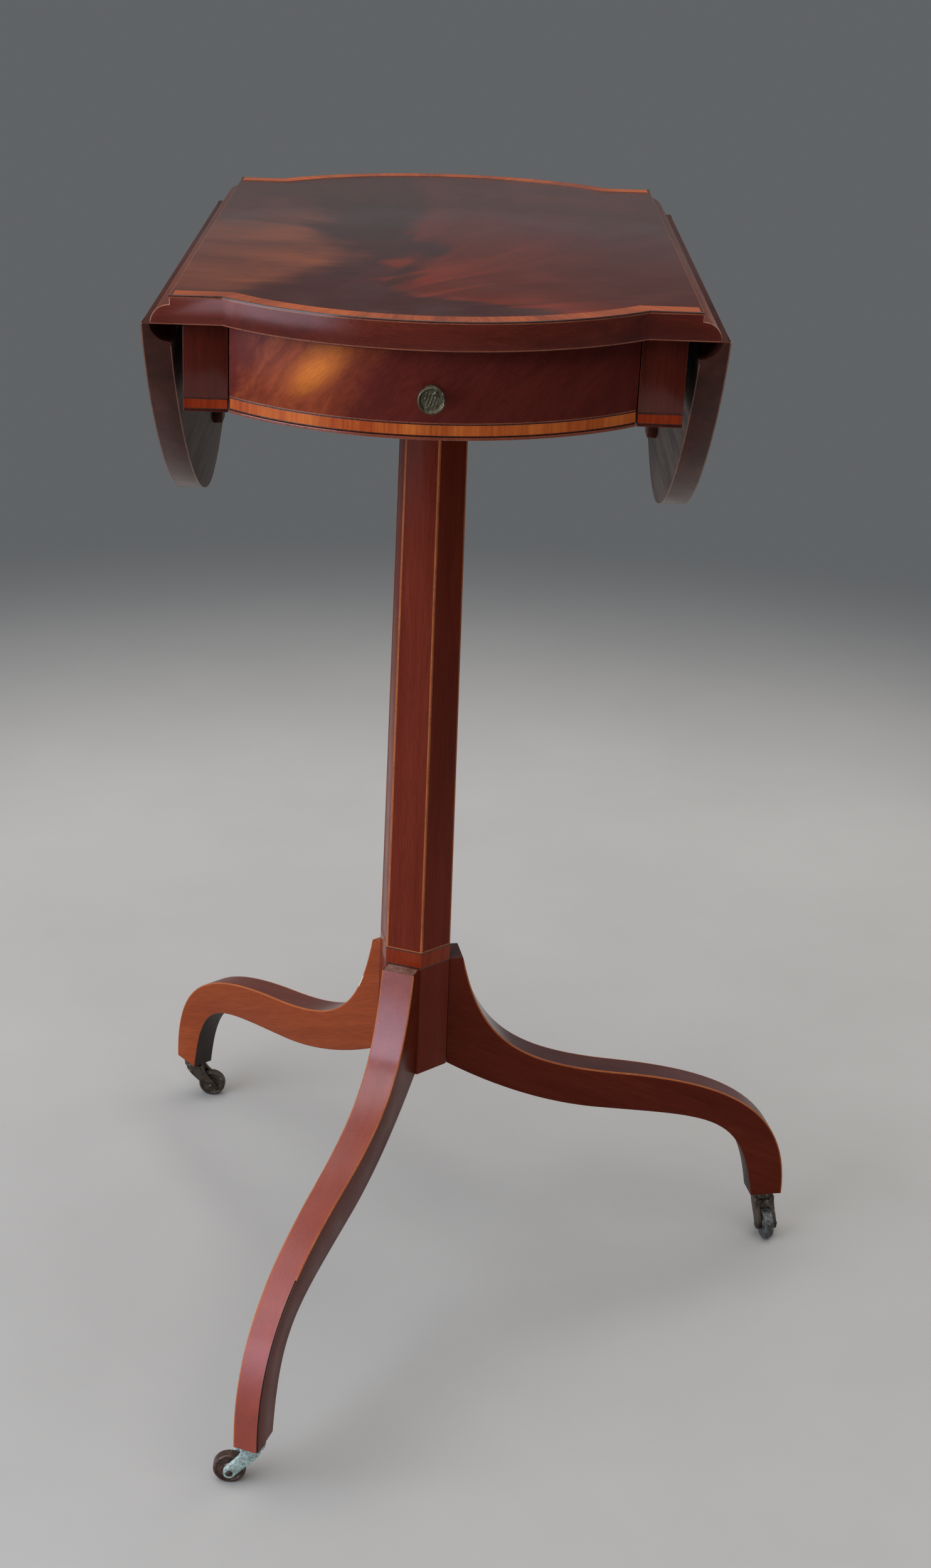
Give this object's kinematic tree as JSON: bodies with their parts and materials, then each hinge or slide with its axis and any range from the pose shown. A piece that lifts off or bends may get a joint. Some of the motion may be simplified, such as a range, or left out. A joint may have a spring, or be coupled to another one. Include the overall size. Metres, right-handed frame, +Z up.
{
  "type": "drop-leaf candlestand",
  "caption": "Drop-leaf candlestand: bowed top with D-shaped leaves on rule joints, bow-front drawer, tapering hexagonal column and a tripod of cyma legs on swivelling casters.",
  "frame": {"origin": "middle of the bounding box's bottom face, on the floor", "axes": "+Z up, the drawer faces -Y, the joint lines of the top run along Y"},
  "size_m": [0.4481, 0.4914, 0.7],
  "materials": {
    "flame_veneer": "figured mahogany veneer, polished",
    "mahogany": "solid mahogany, polished",
    "drawer_lining": "plain secondary wood, waxed",
    "brass": "antique brass, dark with age",
    "iron": "old iron, dull"
  },
  "bodies": {
    "stand": {"top_board": "flame_veneer", "hinge_board_flap_left_front": "iron", "hinge_board_flap_left_back": "iron", "hinge_board_flap_right_front": "iron", "hinge_board_flap_right_back": "iron", "hinge_pin_left_front": "iron", "hinge_pin_left_back": "iron", "hinge_pin_right_front": "iron", "hinge_pin_right_back": "iron", "fly_bracket_left": "mahogany", "fly_bracket_right": "mahogany", "fly_pin_left": "iron", "fly_pin_right": "iron", "case_side_left": "mahogany", "case_side_right": "mahogany", "stile_front_left": "mahogany", "stile_front_right": "mahogany", "stile_back_left": "mahogany", "stile_back_right": "mahogany", "back_panel": "flame_veneer", "back_bead": "mahogany", "case_bottom": "drawer_lining", "drawer_guide_left": "drawer_lining", "drawer_guide_right": "drawer_lining", "drawer_stop": "drawer_lining", "column_bearer": "mahogany", "column": "mahogany", "leg_front": "mahogany", "leg_left": "mahogany", "leg_right": "mahogany", "caster_plate_front": "brass", "caster_plate_left": "brass", "caster_plate_right": "brass"},
    "leaf_left": {"leaf_left": "mahogany", "hinge_leaf_flap_left_front": "iron", "hinge_leaf_flap_left_back": "iron", "leaf_stop_left": "mahogany"},
    "leaf_right": {"leaf_right": "mahogany", "hinge_leaf_flap_right_front": "iron", "hinge_leaf_flap_right_back": "iron", "leaf_stop_right": "mahogany"},
    "drawer": {"drawer_front": "flame_veneer", "drawer_bead": "mahogany", "drawer_side_left": "drawer_lining", "drawer_side_right": "drawer_lining", "drawer_back": "drawer_lining", "drawer_bottom": "drawer_lining", "drawer_knob": "brass", "knob_screw": "iron"},
    "swivel_front": {"caster_yoke_front": "brass", "caster_axle_front": "brass"},
    "swivel_left": {"caster_yoke_left": "brass", "caster_axle_left": "brass"},
    "swivel_right": {"caster_yoke_right": "brass", "caster_axle_right": "brass"},
    "wheel_front": {"caster_wheel_front": "brass"},
    "wheel_left": {"caster_wheel_left": "brass"},
    "wheel_right": {"caster_wheel_right": "brass"}
  },
  "joints": [
    {"name": "leaf_left_hinge", "type": "hinge", "parent": "stand", "child": "leaf_left", "pos_m": [-0.17406, 0.01173, 0.6853], "axis": [0, 1, 0], "range_deg": [0, 90]},
    {"name": "leaf_right_hinge", "type": "hinge", "parent": "stand", "child": "leaf_right", "pos_m": [0.09274, 0.01173, 0.6853], "axis": [0, -1, 0], "range_deg": [0, 90]},
    {"name": "drawer_slide", "type": "slide", "parent": "stand", "child": "drawer", "axis": [0, -1, 0], "range_m": [0, 0.24]},
    {"name": "caster_swivel_front", "type": "hinge", "parent": "stand", "child": "swivel_front", "pos_m": [-0.12457, -0.23198, 0.0272], "axis": [0, 0, 1], "continuous": true},
    {"name": "caster_swivel_left", "type": "hinge", "parent": "stand", "child": "swivel_left", "pos_m": [-0.20976, 0.20626, 0.0272], "axis": [0, 0, 1], "continuous": true},
    {"name": "caster_swivel_right", "type": "hinge", "parent": "stand", "child": "swivel_right", "pos_m": [0.21236, 0.06091, 0.0272], "axis": [0, 0, 1], "continuous": true},
    {"name": "wheel_roll_front", "type": "hinge", "parent": "swivel_front", "child": "wheel_front", "pos_m": [-0.13856, -0.23247, 0.01], "axis": [-0.0349, 0.9994, 0], "continuous": true},
    {"name": "wheel_roll_left", "type": "hinge", "parent": "swivel_left", "child": "wheel_left", "pos_m": [-0.19579, 0.20528, 0.01], "axis": [-0.0698, -0.9976, 0], "continuous": true},
    {"name": "wheel_roll_right", "type": "hinge", "parent": "swivel_right", "child": "wheel_right", "pos_m": [0.21479, 0.04712, 0.01], "axis": [-0.9848, -0.1736, 0], "continuous": true}
  ]
}
